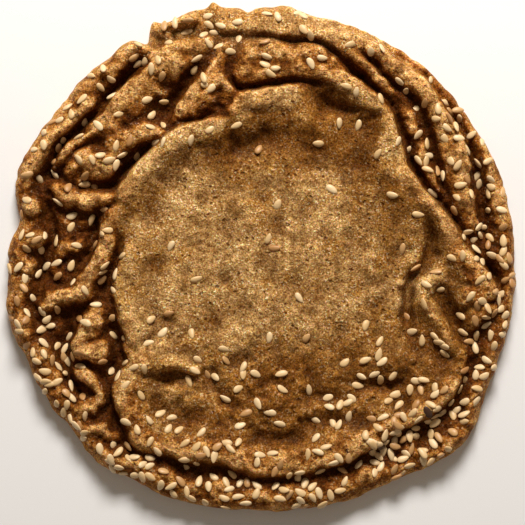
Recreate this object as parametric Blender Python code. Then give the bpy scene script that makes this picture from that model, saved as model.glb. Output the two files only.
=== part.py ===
"""Sesame cookie: wide, thin and crisp, with a smooth middle and wrinkled sides, strewn with sesame seeds.

Metres, +Z up. The origin is the centre of the flat underside, and +Y is the far side of the cookie.
The top is a low shelf with a raised middle, which is a shallow bowl. Lips stand along the edge of the middle,
more folds and lumps lie on the shelf and along the rim, and creases run between them. The seeds are fused on,
so it is all one closed solid.
"""

import math

import bmesh
import bpy
import numpy as np
from mathutils import Matrix, Vector
from mathutils.bvhtree import BVHTree

NAME = "cookie"
MM = 0.001  # the form below is worked out in millimetres, and the mesh is in metres

# Driving sizes, in millimetres
RADIUS = 59.2
SHELF = 3.9  # height of the shelf between the folds
MIDDLE = 4.9  # height of the smooth middle
BOWL = 1.3  # how far the middle rises to its edge
FALL = 2.3  # how far a fold's flank drops over its own half width
REACH = 10.0  # a fold acts no further than this from its route
RIM_WIDTH = 3.0  # how far in from the outline the top is rounded off
RIM_SHARE = 0.42  # height of the rounded edge, as a share of the top beside it
SIDE_STEPS = [(0.0, 0.72), (0.4, 0.4), (0.9, 0.0)]  # down the side: how far in, and the share of height left
SEED_SIZE = (2.8, 1.7, 0.95)  # length, width and thickness
SEED_TAPER = 0.22  # how much narrower the pointed end is than the round end

CELLS = 150  # the top is modelled on this many cells each way, then simplified
FORM_TRIANGLES = 6100
SEEDS = 100
SLIVER = 0.05  # corners of the joined mesh closer than this become one
SEED_SPACING = 3.5
SEED_CLEARANCE = 1.6  # no seed's middle lies nearer the outline
SEED_LIFT = 0.2  # how far above the crust a seed's middle lies
CREVICE = 3.2  # no seed lies where the top is lower than this
CRUST = (0.30, 0.135, 0.042, 1.0)

# The outline's bumps: bearing, half width in degrees, height.
# A bearing is in degrees from +X, counter-clockwise.
OUTLINE_BUMPS = [
    (317, 11, 3.9), (325, 32, 1.4), (290, 12, 0.5), (250, 8, 0.8), (232, 8, 2.0), (212, 9, 0.8),
    (194, 8, 1.7), (171, 4, -1.8), (158, 7, 1.3), (118.2, 1.6, -2.3), (114.6, 1.4, 1.5), (104, 6, 0.8),
    (100.5, 1.1, 1.3), (93, 1.4, -1.0), (83, 3, 0.6), (72, 14, -1.0), (40, 8, -0.5),
]
MIDDLE_EDGE = [  # the edge of the smooth middle, counter-clockwise from the far side
    (10, 40.3), (3, 40.6), (-4, 38.2), (-6.5, 33.4), (-13, 32.3), (-20, 30.6), (-28, 23.9), (-33.6, 16.5),
    (-34.2, 10), (-33, 0), (-34.4, -6), (-33.6, -13), (-30.6, -22), (-33, -27), (-34.6, -31), (-33, -37),
    (-28.6, -44.6), (-16, -47.4), (-7, -48.6), (1, -51), (12, -49.6), (23, -46), (31, -41.3), (39, -37),
    (46, -30.5), (48, -22), (50, -12), (55, -8), (51.5, -0.6), (44.2, 10), (35, 20.4), (33.2, 27),
    (30.6, 33.5), (25, 38.6), (19, 41.2),
]
# Lips stand just inside that edge: from and to bearing, inset, crest height, outer and inner half width
LIPS = {
    "right roll": (-12, 50, 1.5, 8.0, 1.8, 6.5),
    "far left lip": (104, 158, 1.4, 8.1, 1.6, 5.5),
    "left lip": (174, 216, 1.2, 6.9, 1.6, 5.5),
    "near left lip": (218, 245, 1.6, 7.2, 1.9, 7.0),
    "near lip": (243, 310, 1.8, 7.2, 2.0, 8.0),
    "corner lip": (308, 330, 1.6, 7.2, 1.8, 4.0),
}
# Rim folds follow the outline: from and to bearing, inset at each, crest height, outer and inner half width
RIM_FOLDS = {
    "thin right rim": (28, 80, 1.6, 1.6, 5.4, 2.4, 2.0),
    "right rim": (-14, 30, 2.6, 2.0, 6.2, 2.6, 2.6),
    "far left rim": (117, 140, 2.6, 2.4, 6.4, 2.6, 3.6),
    "upper left rim": (137, 161, 5.6, 3.4, 7.2, 4.0, 2.2),
    "left rim": (160, 200, 3.6, 3.6, 6.2, 4.0, 2.4),
    "left rim crag": (192, 200, 2.6, 2.6, 6.6, 2.8, 2.6),
    "lower left rim": (200, 238, 4.6, 3.6, 5.9, 4.4, 3.0),
    "near rim": (236, 292, 4.0, 4.0, 6.2, 4.4, 4.0),
    "corner rim": (290, 346, 3.4, 2.6, 5.6, 3.2, 3.2),
}
# Folds that wander between the middle and the rim: crest height, half width on the left and right, route
FOLDS = {
    "far crust": (7.0, 5.0, 1.4, [(-8, 53.6), (-3, 53.2), (5, 53), (10, 52.4), (15, 50.6)]),
    "ring inner rib": (7.3, 2.4, 2.2, [(14, 52), (19, 49.4), (23, 46), (26.4, 42.8), (29.4, 39.4)]),
    "ring floor": (6.0, 3.0, 3.0, [(32, 36.6), (35, 31), (37, 25), (38.8, 19), (42, 13)]),
    "ring outer rib": (7.5, 2.4, 5.0, [
        (17, 53), (24, 50), (30.4, 45.6), (36, 40.6), (41, 34.6), (44.4, 29), (46.4, 23), (47, 15),
        (49, 9),
    ]),
    "far crag": (6.8, 2.0, 1.3, [(-22.5, 54.8), (-15.5, 55.2)]),
    "far bulge": (8.1, 6.0, 9.0, [(-5, 46.6), (3, 47.2), (10, 46.6), (15.5, 44.6)]),
    "bulge tail": (7.9, 2.2, 4.4, [(12, 44.6), (17.5, 41.8), (22, 39.8), (26, 37), (29.4, 33.4)]),
    "bulge knob": (7.3, 1.8, 1.8, [(-9.4, 47.8), (-9, 45.8)]),
    "far bank": (7.0, 6.5, 7.0, [(-8, 32), (-3, 34), (2, 35), (8, 34.4), (13, 32.4)]),
    "far lip": (7.9, 1.8, 5.4, [(-8, 33.6), (-5.8, 34.6), (-4.2, 37.2), (0, 38.8), (5, 39.4), (9.4, 38.8)]),
    "arch west": (7.7, 1.8, 6.4, [(-20.8, 31.6), (-18.8, 36.4), (-14, 40.6), (-10.8, 44.6)]),
    "arch east": (7.7, 1.4, 3.0, [(-10.8, 44.6), (-9.2, 41.2), (-7.2, 39), (-5.4, 37.4)]),
    "arch step": (6.9, 1.4, 1.6, [(-10.8, 37.4), (-8.5, 35.9), (-6, 35)]),
    "left spur": (8.0, 1.9, 7.2, [
        (-38.5, 31), (-35, 34.6), (-31.4, 38.6), (-27.6, 42), (-22.6, 45.4), (-17, 47.8),
    ]),
    "spur head": (7.9, 2.4, 2.6, [(-24.6, 47), (-20, 48.8), (-15.6, 49.4), (-12.6, 48.8)]),
    "left fold": (7.6, 1.7, 4.6, [(-21.5, 28.8), (-28, 27.6), (-32.5, 26), (-35.4, 22.6)]),
    "left knob": (8.0, 5.0, 3.0, [(-36.6, 22.6), (-39.5, 23), (-42.6, 21.8)]),
    "knob spur": (6.9, 1.8, 1.8, [(-47.5, 21.6), (-44.5, 25.6), (-40, 28), (-36, 30.6)]),
    "shelf fold": (7.1, 2.2, 3.0, [(-34.2, 14.4), (-39, 13.2), (-43, 13.8), (-48, 16.6)]),
    "left wing": (4.8, 2.2, 2.2, [(-56, 20), (-56, 13)]),
    "left roll": (7.6, 3.4, 2.2, [(-31.6, 14), (-35, 8.6), (-36.4, 2), (-39.2, -2), (-41.4, -5)]),
    "roll foot": (7.3, 3.0, 2.2, [(-41.4, -5), (-41.6, -7.6), (-46, -8.8), (-50.5, -9.6)]),
    "left hump": (5.0, 3.6, 2.6, [(-40.6, 5), (-44, 3), (-49, 1)]),
    "near left ledge": (6.7, 3.2, 1.6, [
        (-31.4, -21), (-29, -24.2), (-25, -25.3), (-20, -25), (-16.4, -26.2),
    ]),
    "near left lobe": (7.5, 3.6, 2.2, [(-38.6, -12.6), (-40.6, -17), (-42.4, -21), (-36.4, -22.8)]),
    "near left curl": (6.9, 1.8, 1.8, [(-43.8, -26.8), (-39.4, -27.8), (-37, -31.5), (-38.4, -33.6)]),
    "near left knob": (7.3, 2.8, 2.6, [(-39.8, -34.4), (-43, -35)]),
    "near left shelf": (6.5, 1.6, 2.4, [(-42.4, -39.4), (-38, -39), (-34.4, -41)]),
    "right lobe": (7.2, 3.2, 3.2, [(41.8, -3.4), (38.2, -6.6), (37.6, -9.6), (40.6, -13.6), (46, -21)]),
    "right knuckle": (6.3, 2.4, 2.6, [(40, -3), (44, -5), (47.6, -6.4)]),
    "right pad": (7.1, 3.2, 3.4, [(54, -10.2), (50.6, -12), (48, -15.4)]),
}
# Lumps on the rim and the shelf: place, half width and crest height
LUMPS = [
    (-12.2, 49.8, 2.2, 7.4), (-37.2, 43.6, 2.6, 6.7), (-53, 12, 2.6, 7.6), (-52.6, 4.4, 2.4, 7.2),
    (-54.4, -2, 2.7, 7.0), (-58.6, -10, 2.2, 6.0), (-56, -15, 2.8, 6.8), (-50.6, -22.8, 2.4, 6.4),
    (-48, -31, 2.8, 6.6), (20, -52.6, 2.6, 6.2), (34.8, 3.4, 2.4, 6.1), (32.6, -6, 2.2, 5.8),
]
# Creases and hollows: half width, depth, route
CREASES = {
    "right crease": (1.6, 3.2, [
        (38.2, 10), (39.4, 6), (39.2, 1), (37.6, -2.6), (34.8, -5.4), (33.8, -10), (33.6, -17),
    ]),
    "roll crease": (1.0, 2.4, [
        (31, 35.6), (32.6, 30), (34, 23.4), (39, 16.8), (44.6, 9.4), (50, 1), (54.6, -4), (56, -13),
    ]),
    "ring crease": (0.9, 2.0, [
        (23.6, 47.4), (27, 44.2), (30, 41), (33.6, 37.8), (37.4, 33.6), (39.6, 28), (41.4, 21),
        (44.4, 10.6),
    ]),
    "rim crease": (1.1, 2.3, [
        (14, 55), (25, 51.4), (32, 47.6), (38, 42.4), (43, 37), (48, 28), (50.4, 20), (52.4, 8), (53, 3),
    ]),
    "far crease": (0.7, 2.0, [
        (-5, 51), (4, 51.2), (12, 50.2), (16.6, 47.6), (20.4, 44), (24, 41.4), (28, 38),
    ]),
    "bulge crease": (0.7, 2.0, [(-7.4, 43.4), (-5.6, 39), (-2, 39.6), (4, 40.7), (10, 41), (15, 40)]),
    "bulge notch": (0.9, 1.8, [(-6.4, 48.4), (-7.6, 44)]),
    "bulge dent": (1.6, 0.9, [(-1.4, 42.4), (1, 45.4), (6, 45.6)]),
    "far hollow": (2.5, 3.5, [(12, 38.4), (14.6, 36.6), (18.4, 35.2)]),
    "tail crease": (1.0, 1.3, [(16, 36), (19, 35), (24, 34.6)]),
    "bank hollow": (3.6, 2.1, [(-9, 26.4), (-2, 27.2), (5, 29.2)]),
    "lip foot": (0.8, 0.3, [(-6.4, 32.2), (-3.4, 34), (3, 34.6), (8.6, 34)]),
    "arch valley": (1.3, 2.8, [(-22.4, 31.4), (-20.6, 36), (-17.6, 41.4), (-13.8, 45.4)]),
    "arch foot": (0.7, 1.3, [(-21.4, 30.2), (-16.6, 32), (-12, 32.8), (-8, 33.2)]),
    "spur dent": (2.0, 2.2, [(-26, 32.4), (-24, 34.4), (-23.4, 38.6)]),
    "lip crevice": (1.3, 3.0, [(-23, 27.8), (-29, 23.6), (-34, 17.4), (-39, 16.6)]),
    "far left valley": (1.2, 2.3, [
        (-49, 16), (-48.8, 23), (-44, 29.2), (-38, 34), (-32.8, 41.4), (-28.6, 45.2),
    ]),
    "left valley": (1.4, 2.6, [(-49.4, 13), (-48.6, 5.6), (-50.8, -2), (-52, -8.6)]),
    "roll side": (1.0, 2.2, [(-36.6, 10.4), (-39.6, 5), (-40.4, 0), (-43.4, -4.6)]),
    "lip crease": (1.1, 1.6, [(-34, 7), (-32.8, 2), (-33.8, -4)]),
    "roll hollow": (2.2, 2.6, [(-36, -5), (-37.4, -8)]),
    "lobe crease": (1.6, 2.4, [(-35.4, -14.6), (-33.6, -20), (-34.6, -26), (-38.6, -26.4)]),
    "lobe side": (1.4, 2.4, [(-46, -13), (-45, -17.4), (-46, -24), (-42.6, -31.6)]),
    "curl crease": (1.4, 2.2, [(-36, -28.6), (-35.4, -34.6), (-31.6, -40)]),
    "right hollow": (1.8, 2.4, [(42, -7.4), (44.4, -11), (45.6, -16), (48.6, -21)]),
    "near right step": (1.6, 2.0, [(22.5, -28.8), (28, -29.6), (34, -28.8)]),
    "near step": (1.9, 1.3, [(9, -31.6), (15, -32), (21.5, -32.2)]),
    "near dip": (1.9, 1.3, [(8, -39.2), (16, -38.4), (28, -36.8)]),
    "near hollow": (1.8, 1.6, [(-4, -39.4), (3, -42), (13, -42)]),
    "near left step": (1.3, 1.4, [(-29, -27.2), (-24, -28.2), (-18, -28.2)]),
    "near left hollow": (2.0, 1.5, [(-25.6, -31), (-23.6, -35.5), (-19, -37), (-13, -36.6)]),
    "near left dip": (1.8, 1.3, [(-11.5, -29), (-9.2, -33), (-4, -35.5)]),
}
# How thickly the seeds lie outside the middle: bearing, seeds per square centimetre
RIM_SEEDS = [
    (0, 24), (12, 22), (25, 17), (45, 9), (70, 8), (90, 7), (105, 9), (130, 11), (150, 13), (175, 14),
    (190, 16), (212, 17), (230, 14), (245, 20), (265, 22), (285, 18), (305, 28), (325, 28), (345, 22),
    (360, 24),
]
MOST_SEEDS = 40.0


def noise(x, y, size, seed):
    """Smooth noise from -1 to 1, with features of that size."""
    table = np.random.default_rng(seed).uniform(-1, 1, (128, 128))
    turned_x, turned_y = x * math.cos(seed) - y * math.sin(seed), x * math.sin(seed) + y * math.cos(seed)
    u, v = turned_x / size + 64.37, turned_y / size + 64.11
    i, j = np.floor(u).astype(int), np.floor(v).astype(int)
    u, v = u - i, v - j
    u, v = u ** 3 * (u * (u * 6 - 15) + 10), v ** 3 * (v * (v * 6 - 15) + 10)
    i, j, i1, j1 = i % 128, j % 128, (i + 1) % 128, (j + 1) % 128
    near_side = table[i, j] * (1 - u) + table[i1, j] * u
    far_side = table[i, j1] * (1 - u) + table[i1, j1] * u
    return near_side * (1 - v) + far_side * v


def outline_radius(theta):
    """Distance from the centre to the outline, with its bumps and its crumbled edge."""
    degrees = np.degrees(theta)
    radius = RADIUS
    for bearing, width, high in OUTLINE_BUMPS:
        off = (degrees - bearing + 180) % 360 - 180
        radius = radius + high * np.exp(-(off / width) ** 2)
    x, y = RADIUS * np.cos(theta), RADIUS * np.sin(theta)
    return radius + 0.35 * noise(x, y, 4.0, 5) + 0.2 * noise(x, y, 1.8, 6)


def smooth_route(points, step=0.8, closed=False):
    """Points every step along a smooth curve through the given ones."""
    pts = np.array(points, float)
    before, after = 2 * pts[:1] - pts[1:2], 2 * pts[-1:] - pts[-2:-1]
    if closed:
        before, after = pts[-1:], pts[:2]
    pts = np.vstack([before, pts, after])
    route = []
    for a, b, c, d in zip(pts[:-3], pts[1:-2], pts[2:-1], pts[3:]):
        t = np.arange(0, 1, step / max(step, math.dist(b, c)))[:, None]
        route.append(b + 0.5 * t * (c - a + t * (2 * a - 5 * b + 4 * c - d + t * (3 * (b - c) + d - a))))
    route.append(pts[-2:-1])
    return np.vstack(route)


def route_distance(x, y, route, reach=REACH):
    """Distance to a route; the side, 1 on its left and -1 on its right; and how far the nearer end is."""
    dist, side, end = np.full(x.shape, reach), np.ones(x.shape), np.zeros(x.shape)
    low, high = route.min(axis=0) - reach, route.max(axis=0) + reach
    near = (x > low[0]) & (x < high[0]) & (y > low[1]) & (y < high[1])
    px, py = x[near], y[near]
    best, turn, way = np.full(px.shape, reach), np.ones(px.shape), np.zeros(px.shape)
    done = 0.0
    for (ax, ay), (bx, by) in zip(route[:-1], route[1:]):
        dx, dy = bx - ax, by - ay
        length = math.hypot(dx, dy)
        if length == 0:
            continue
        t = np.clip(((px - ax) * dx + (py - ay) * dy) / length ** 2, 0, 1)
        gap = np.hypot(px - ax - t * dx, py - ay - t * dy)
        closer = gap < best
        best = np.where(closer, gap, best)
        turn = np.where(closer, (dx * (py - ay) - dy * (px - ax)) / (length * np.maximum(gap, 1e-9)), turn)
        way = np.where(closer, done + t * length, way)
        done += length
    dist[near], side[near], end[near] = best, np.clip(turn, -1, 1), np.minimum(way, done - way)
    return dist, side, end


def raise_fold(z, x, y, crest, off, width, end, seed):
    """Raise a fold: a round crest, then steep flanks. It swells along its way and sinks at its ends."""
    u = np.abs(off) / width
    swell = (0.45 * noise(x, y, 4.5, seed) + 0.25 * noise(x, y, 2.2, seed + 1)) * np.exp(-u * u)
    sink = 1.0 * (1 - np.clip(end / 4.0, 0, 1)) ** 2 + np.clip(-end, 0, REACH)
    top = crest + swell - sink - FALL * np.where(u < 1, u * u, 2 * u - 1)
    top = np.where(np.abs(off) < REACH, top, -REACH)
    blend = np.clip(0.25 * width, 0.4, 1.8)
    h = np.clip(0.5 + 0.5 * (z - top) / blend, 0, 1)
    return top + h * (z - top + blend * (1 - h))


def height(x0, y0):
    """Height of the top over the underside, without the rounding of its edge."""
    x = x0 + 0.5 * noise(x0, y0, 6.5, 11) + 0.35 * noise(x0, y0, 2.4, 12)
    y = y0 + 0.5 * noise(x0, y0, 6.5, 13) + 0.35 * noise(x0, y0, 2.4, 14)
    theta = np.arctan2(y, x)
    bearing = np.degrees(theta)
    dist, side, _ = route_distance(x, y, smooth_route(MIDDLE_EDGE, closed=True), 2 * RADIUS)
    inner = dist * np.sign(side)
    rim = outline_radius(theta) - np.hypot(x, y)

    step = np.clip((inner + 0.7) / 1.8, 0, 1)
    step = step * step * (3 - 2 * step)
    lumpy = np.abs(noise(x, y, 5.0, 21)) + 0.6 * np.abs(noise(x, y, 2.6, 22))
    shelf = SHELF - 0.7 + 1.2 * lumpy
    near_side = np.clip((-y0 - 8) / 22, 0, 1)
    bowl = MIDDLE + 0.35 * noise(x0, y0, 15, 23) + (0.45 + 0.4 * near_side) * noise(x0, y0, 5.5, 24)
    bowl = bowl + (0.26 + 0.3 * near_side) * noise(x0, y0, 2.8, 25)
    bowl = bowl + BOWL * np.clip(1 - inner / 16, 0, 1) ** 2
    z = shelf + (bowl - shelf) * step

    for seed, (start, stop, inset, crest, outer, into) in enumerate(LIPS.values(), 40):
        along = (bearing - start + 90) % 360 - 90
        end = np.minimum(along, stop - start - along) * math.radians(RADIUS * 0.7)
        off = inner - inset
        z = raise_fold(z, x, y, crest, off, np.where(off > 0, into, outer), end, seed)
    for seed, (start, stop, inset, inset_to, crest, outer, into) in enumerate(RIM_FOLDS.values(), 50):
        along = (bearing - start + 90) % 360 - 90
        end = np.minimum(along, stop - start - along) * math.radians(RADIUS)
        off = rim - inset - (inset_to - inset) * along / (stop - start)
        z = raise_fold(z, x, y, crest, off, np.where(off > 0, into, outer), end, seed)
    for seed, (crest, left, right, points) in enumerate(FOLDS.values(), 60):
        dist, side, end = route_distance(x, y, smooth_route(points))
        width = (left + right) / 2 + (left - right) / 2 * side
        z = raise_fold(z, x, y, crest, dist, width, end, seed)
    for seed, (lump_x, lump_y, width, crest) in enumerate(LUMPS, 100):
        off = np.hypot(x - lump_x, y - lump_y)
        z = raise_fold(z, x, y, crest, off, width, REACH, seed)
    for width, depth, points in CREASES.values():
        dist, side, end = route_distance(x, y, smooth_route(points))
        z = z - depth * (0.3 + 0.7 * np.clip(end / 4.0, 0, 1)) * np.exp(-(dist / width) ** 2)
    outside = np.clip(0.5 - inner / 3, 0, 1)
    lumps = 0.3 * noise(x, y, 3.2, 26) + 0.22 * noise(x, y, 1.7, 27)
    return np.maximum(z + outside * lumps, 1.5)


# --- mesh ---
def seed_density(x, y):
    """Seeds per square centimetre: few on the middle, more on its near side, most on the rim."""
    bearings, outside = np.array(RIM_SEEDS, float).T
    theta = np.arctan2(y, x)
    thick = np.interp(np.degrees(theta) % 360, bearings, outside)
    rim = outline_radius(theta) - np.hypot(x, y)
    sheltered = np.clip((rim - 7) / 4, 0, 1) * np.clip(-x / 10, 0, 1)
    thick = thick * (1 - 0.6 * sheltered)
    thin = 1.0 + 2.6 * np.clip((-y - 18) / 14, 0, 1)
    dist, side, _ = route_distance(x, y, smooth_route(MIDDLE_EDGE, closed=True), 2 * RADIUS)
    outside_share = np.clip(0.5 - dist * side / 6, 0, 1)
    return thin + (thick - thin) * outside_share


def scatter(spacing, most):
    """Where seeds lie, as x, y and turn: drawn by their density, at least the spacing apart."""
    rng = np.random.default_rng(20)
    width = 2.2 * RADIUS
    tries = int(MOST_SEEDS * (width / 10) ** 2)
    x, y = rng.uniform(-width / 2, width / 2, (2, tries))
    chance = rng.uniform(0, MOST_SEEDS, tries)
    turn = rng.uniform(0, 2 * math.pi, tries)
    rim = outline_radius(np.arctan2(y, x)) - np.hypot(x, y)
    lies = (chance < seed_density(x, y)) & (rim > SEED_CLEARANCE)
    places = []
    for spot in zip(x[lies], y[lies], turn[lies]):
        if len(places) < most and all(math.dist(spot[:2], other[:2]) > spacing for other in places):
            places.append(spot)
    return places


def round_grid():
    """The top: a square grid drawn out so that each ring of its cells takes the outline's shape."""
    bm = bmesh.new()
    bmesh.ops.create_grid(bm, x_segments=CELLS, y_segments=CELLS, size=1)
    u, v = np.array([vert.co.xy for vert in bm.verts]).T
    share = np.maximum(np.abs(u), np.abs(v))
    wide = np.abs(u) >= np.abs(v)
    across = np.where(wide, v, u) / np.maximum(np.where(wide, u, v) ** 2, 1e-12) * np.where(wide, u, v)
    turn = np.where(wide, across + np.where(u < 0, 4, 0), 2 - across + np.where(v < 0, 4, 0))
    theta = turn * math.pi / 4
    radius = outline_radius(theta)
    x, y = radius * share * np.cos(theta), radius * share * np.sin(theta)
    inward = 1 - np.clip(radius * (1 - share) / RIM_WIDTH, 0, 1)
    z = height(x, y) * (RIM_SHARE + (1 - RIM_SHARE) * np.sqrt(1 - inward ** 2))
    for vert, place in zip(bm.verts, np.stack([x, y, z], 1)):
        vert.co = place * MM
    return bm


def add_side(bm):
    """Carry the edge down the side and in to the foot of the cookie."""
    for inset, share in SIDE_STEPS:
        rim = [edge for edge in bm.edges if edge.is_boundary]
        fresh = bmesh.ops.extrude_edge_only(bm, edges=rim)["geom"]
        for vert in fresh:
            if isinstance(vert, bmesh.types.BMVert):
                vert.co.xy *= 1 - inset * MM / vert.co.xy.length
                vert.co.z *= share


def applied(obj):
    """The object's mesh with its modifiers applied, in place of its own."""
    graph = bpy.context.evaluated_depsgraph_get()
    mesh = bpy.data.meshes.new_from_object(obj.evaluated_get(graph))
    mesh.name = obj.name
    obj.modifiers.clear()
    obj.data = mesh
    return mesh


def add_body(collection, material):
    """The cookie without its seeds: modelled finely, simplified, and closed with a flat underside."""
    bm = round_grid()
    add_side(bm)
    bmesh.ops.recalc_face_normals(bm, faces=bm.faces)
    if sum(face.normal.z for face in bm.faces) < 0:
        bmesh.ops.reverse_faces(bm, faces=bm.faces)
    mesh = bpy.data.meshes.new(NAME)
    bm.to_mesh(mesh)
    bm.free()
    mesh.materials.append(material)
    body = bpy.data.objects.new(NAME, mesh)
    collection.objects.link(body)
    simplify = body.modifiers.new("Simplify", "DECIMATE")
    simplify.ratio = FORM_TRIANGLES / (2 * len(mesh.polygons))

    mesh = applied(body)
    bm = bmesh.new()
    bm.from_mesh(mesh)
    foot = [edge for edge in bm.edges if edge.is_boundary]
    for edge in foot:
        for vert in edge.verts:
            vert.co.z = 0
    bmesh.ops.holes_fill(bm, edges=foot, sides=0)
    bm.to_mesh(mesh)
    bm.free()
    return body


def seed_mesh(material):
    """A sesame seed: a flattened drop with few sides, lying along X."""
    bm = bmesh.new()
    bmesh.ops.create_uvsphere(bm, u_segments=6, v_segments=4, radius=0.5)
    length, width, thickness = SEED_SIZE
    for vert in bm.verts:
        z, y, x = vert.co
        taper = 1 - SEED_TAPER * (x + 0.5)
        vert.co = Vector((x * length, y * width * taper, -z * thickness * taper)) * MM
    bmesh.ops.recalc_face_normals(bm, faces=bm.faces)
    mesh = bpy.data.meshes.new("seed")
    bm.to_mesh(mesh)
    bm.free()
    mesh.materials.append(material)
    return mesh


def add_seeds(collection, body, material):
    """Seeds lying on the body, turned each its own way and sunk by a third; none lies down in a crevice."""
    graph = bpy.context.evaluated_depsgraph_get()
    surface = BVHTree.FromObject(body, graph)
    mesh = seed_mesh(material)
    for index, (x, y, turn) in enumerate(scatter(SEED_SPACING, SEEDS)):
        place, normal, _, _ = surface.ray_cast(Vector((x * MM, y * MM, 1)), Vector((0, 0, -1)))
        if place.z < CREVICE * MM:
            continue
        seed = bpy.data.objects.new(f"seed_{index:03d}", mesh)
        tilt = Vector((0, 0, 1)).rotation_difference(normal).to_matrix().to_4x4()
        place = place + normal * SEED_LIFT * MM
        seed.matrix_world = Matrix.Translation(place) @ tilt @ Matrix.Rotation(turn, 4, "Z")
        collection.objects.link(seed)


def fuse(body, pieces):
    """Join the pieces of a collection to the body, and remove them."""
    union = body.modifiers.new("Fuse", "BOOLEAN")
    union.operation = "UNION"
    union.operand_type = "COLLECTION"
    union.collection = pieces
    mesh = applied(body)
    for piece in list(pieces.objects):
        bpy.data.objects.remove(piece)
    bpy.data.collections.remove(pieces)
    bm = bmesh.new()
    bm.from_mesh(mesh)
    bmesh.ops.triangulate(bm, faces=bm.faces)
    bmesh.ops.remove_doubles(bm, verts=bm.verts, dist=SLIVER * MM)
    bmesh.ops.dissolve_degenerate(bm, edges=bm.edges, dist=SLIVER * MM)
    bmesh.ops.triangulate(bm, faces=bm.faces)
    bm.to_mesh(mesh)
    bm.free()


def centre_on_origin(mesh):
    """Move the mesh so that the middle of its box stands over the origin."""
    points = np.array([vert.co for vert in mesh.vertices])
    middle = (points.min(axis=0) + points.max(axis=0)) / 2
    mesh.transform(Matrix.Translation((-middle[0], -middle[1], 0)))


def crust_material():
    material = bpy.data.materials.new("cookie_crust")
    material.use_nodes = True
    shader = material.node_tree.nodes["Principled BSDF"]
    shader.inputs["Base Color"].default_value = CRUST
    shader.inputs["Roughness"].default_value = 0.6
    shader.inputs["Metallic"].default_value = 0.0
    return material


def main():
    for obj in list(bpy.data.objects):
        bpy.data.objects.remove(obj)
    cookie = bpy.data.collections.new("sesame cookie")
    seeds = bpy.data.collections.new("seeds")
    for collection in (cookie, seeds):
        bpy.context.scene.collection.children.link(collection)
    material = crust_material()
    body = add_body(cookie, material)
    add_seeds(seeds, body, material)
    fuse(body, seeds)
    centre_on_origin(body.data)
    body.data.shade_smooth()
    body.data.set_sharp_from_angle(angle=math.radians(50))


main()
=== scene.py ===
"""The looks of the sesame cookie: its wrinkled crust and its seeds.

It lies on a pale floor in soft light from the far side. The form is worked out in millimetres, by the
same rules as the CAD part's, and is then set to the size of its box.
"""

import math

import bmesh
import bpy
import numpy as np
from mathutils import Matrix, Vector
from mathutils.bvhtree import BVHTree


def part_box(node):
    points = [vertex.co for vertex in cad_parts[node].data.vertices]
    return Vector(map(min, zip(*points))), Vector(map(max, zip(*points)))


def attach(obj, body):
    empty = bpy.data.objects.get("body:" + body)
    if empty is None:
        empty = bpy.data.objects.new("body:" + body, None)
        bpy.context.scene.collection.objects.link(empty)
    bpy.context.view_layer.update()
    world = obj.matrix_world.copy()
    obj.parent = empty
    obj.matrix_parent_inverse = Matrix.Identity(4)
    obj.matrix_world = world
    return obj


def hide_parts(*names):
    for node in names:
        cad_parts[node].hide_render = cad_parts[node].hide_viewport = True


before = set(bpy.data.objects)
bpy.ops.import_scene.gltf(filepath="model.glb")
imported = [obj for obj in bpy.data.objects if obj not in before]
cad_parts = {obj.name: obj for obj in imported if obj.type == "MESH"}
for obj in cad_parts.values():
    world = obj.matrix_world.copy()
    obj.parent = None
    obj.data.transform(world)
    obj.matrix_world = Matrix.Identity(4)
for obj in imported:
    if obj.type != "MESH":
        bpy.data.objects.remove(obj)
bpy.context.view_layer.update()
LOWEST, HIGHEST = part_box("cookie")

# Driving sizes, in millimetres
RADIUS = 59.2
SHELF = 3.9  # height of the shelf between the folds
MIDDLE = 4.9  # height of the smooth middle
BOWL = 1.3  # how far the middle rises to its edge
FALL = 2.3  # how far a fold's flank drops over its own half width
REACH = 10.0  # a fold acts no further than this from its route
RIM_WIDTH = 3.0  # how far in from the outline the top is rounded off
RIM_SHARE = 0.42  # height of the rounded edge, as a share of the top beside it
SEED_SIZE = (2.85, 1.75, 0.95)  # length, width and thickness

# The outline's bumps: bearing, half width in degrees, height.
# A bearing is in degrees from +X, counter-clockwise.
OUTLINE_BUMPS = [
    (317, 11, 3.9), (325, 32, 1.4), (290, 12, 0.5), (250, 8, 0.8), (232, 8, 2.0), (212, 9, 0.8),
    (194, 8, 1.7), (171, 4, -1.8), (158, 7, 1.3), (118.2, 1.6, -2.3), (114.6, 1.4, 1.5), (104, 6, 0.8),
    (100.5, 1.1, 1.3), (93, 1.4, -1.0), (83, 3, 0.6), (72, 14, -1.0), (40, 8, -0.5),
]
MIDDLE_EDGE = [  # the edge of the smooth middle, counter-clockwise from the far side
    (10, 40.3), (3, 40.6), (-4, 38.2), (-6.5, 33.4), (-13, 32.3), (-20, 30.6), (-28, 23.9), (-33.6, 16.5),
    (-34.2, 10), (-33, 0), (-34.4, -6), (-33.6, -13), (-30.6, -22), (-33, -27), (-34.6, -31), (-33, -37),
    (-28.6, -44.6), (-16, -47.4), (-7, -48.6), (1, -51), (12, -49.6), (23, -46), (31, -41.3), (39, -37),
    (46, -30.5), (48, -22), (50, -12), (55, -8), (51.5, -0.6), (44.2, 10), (35, 20.4), (33.2, 27),
    (30.6, 33.5), (25, 38.6), (19, 41.2),
]
# Lips stand just inside that edge: from and to bearing, inset, crest height, outer and inner half width
LIPS = {
    "right roll": (-12, 50, 1.5, 8.0, 1.8, 6.5),
    "far left lip": (104, 158, 1.4, 8.1, 1.6, 5.5),
    "left lip": (174, 216, 1.2, 6.9, 1.6, 5.5),
    "near left lip": (218, 245, 1.6, 7.2, 1.9, 7.0),
    "near lip": (243, 310, 1.8, 7.2, 2.0, 8.0),
    "corner lip": (308, 330, 1.6, 7.2, 1.8, 4.0),
}
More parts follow.
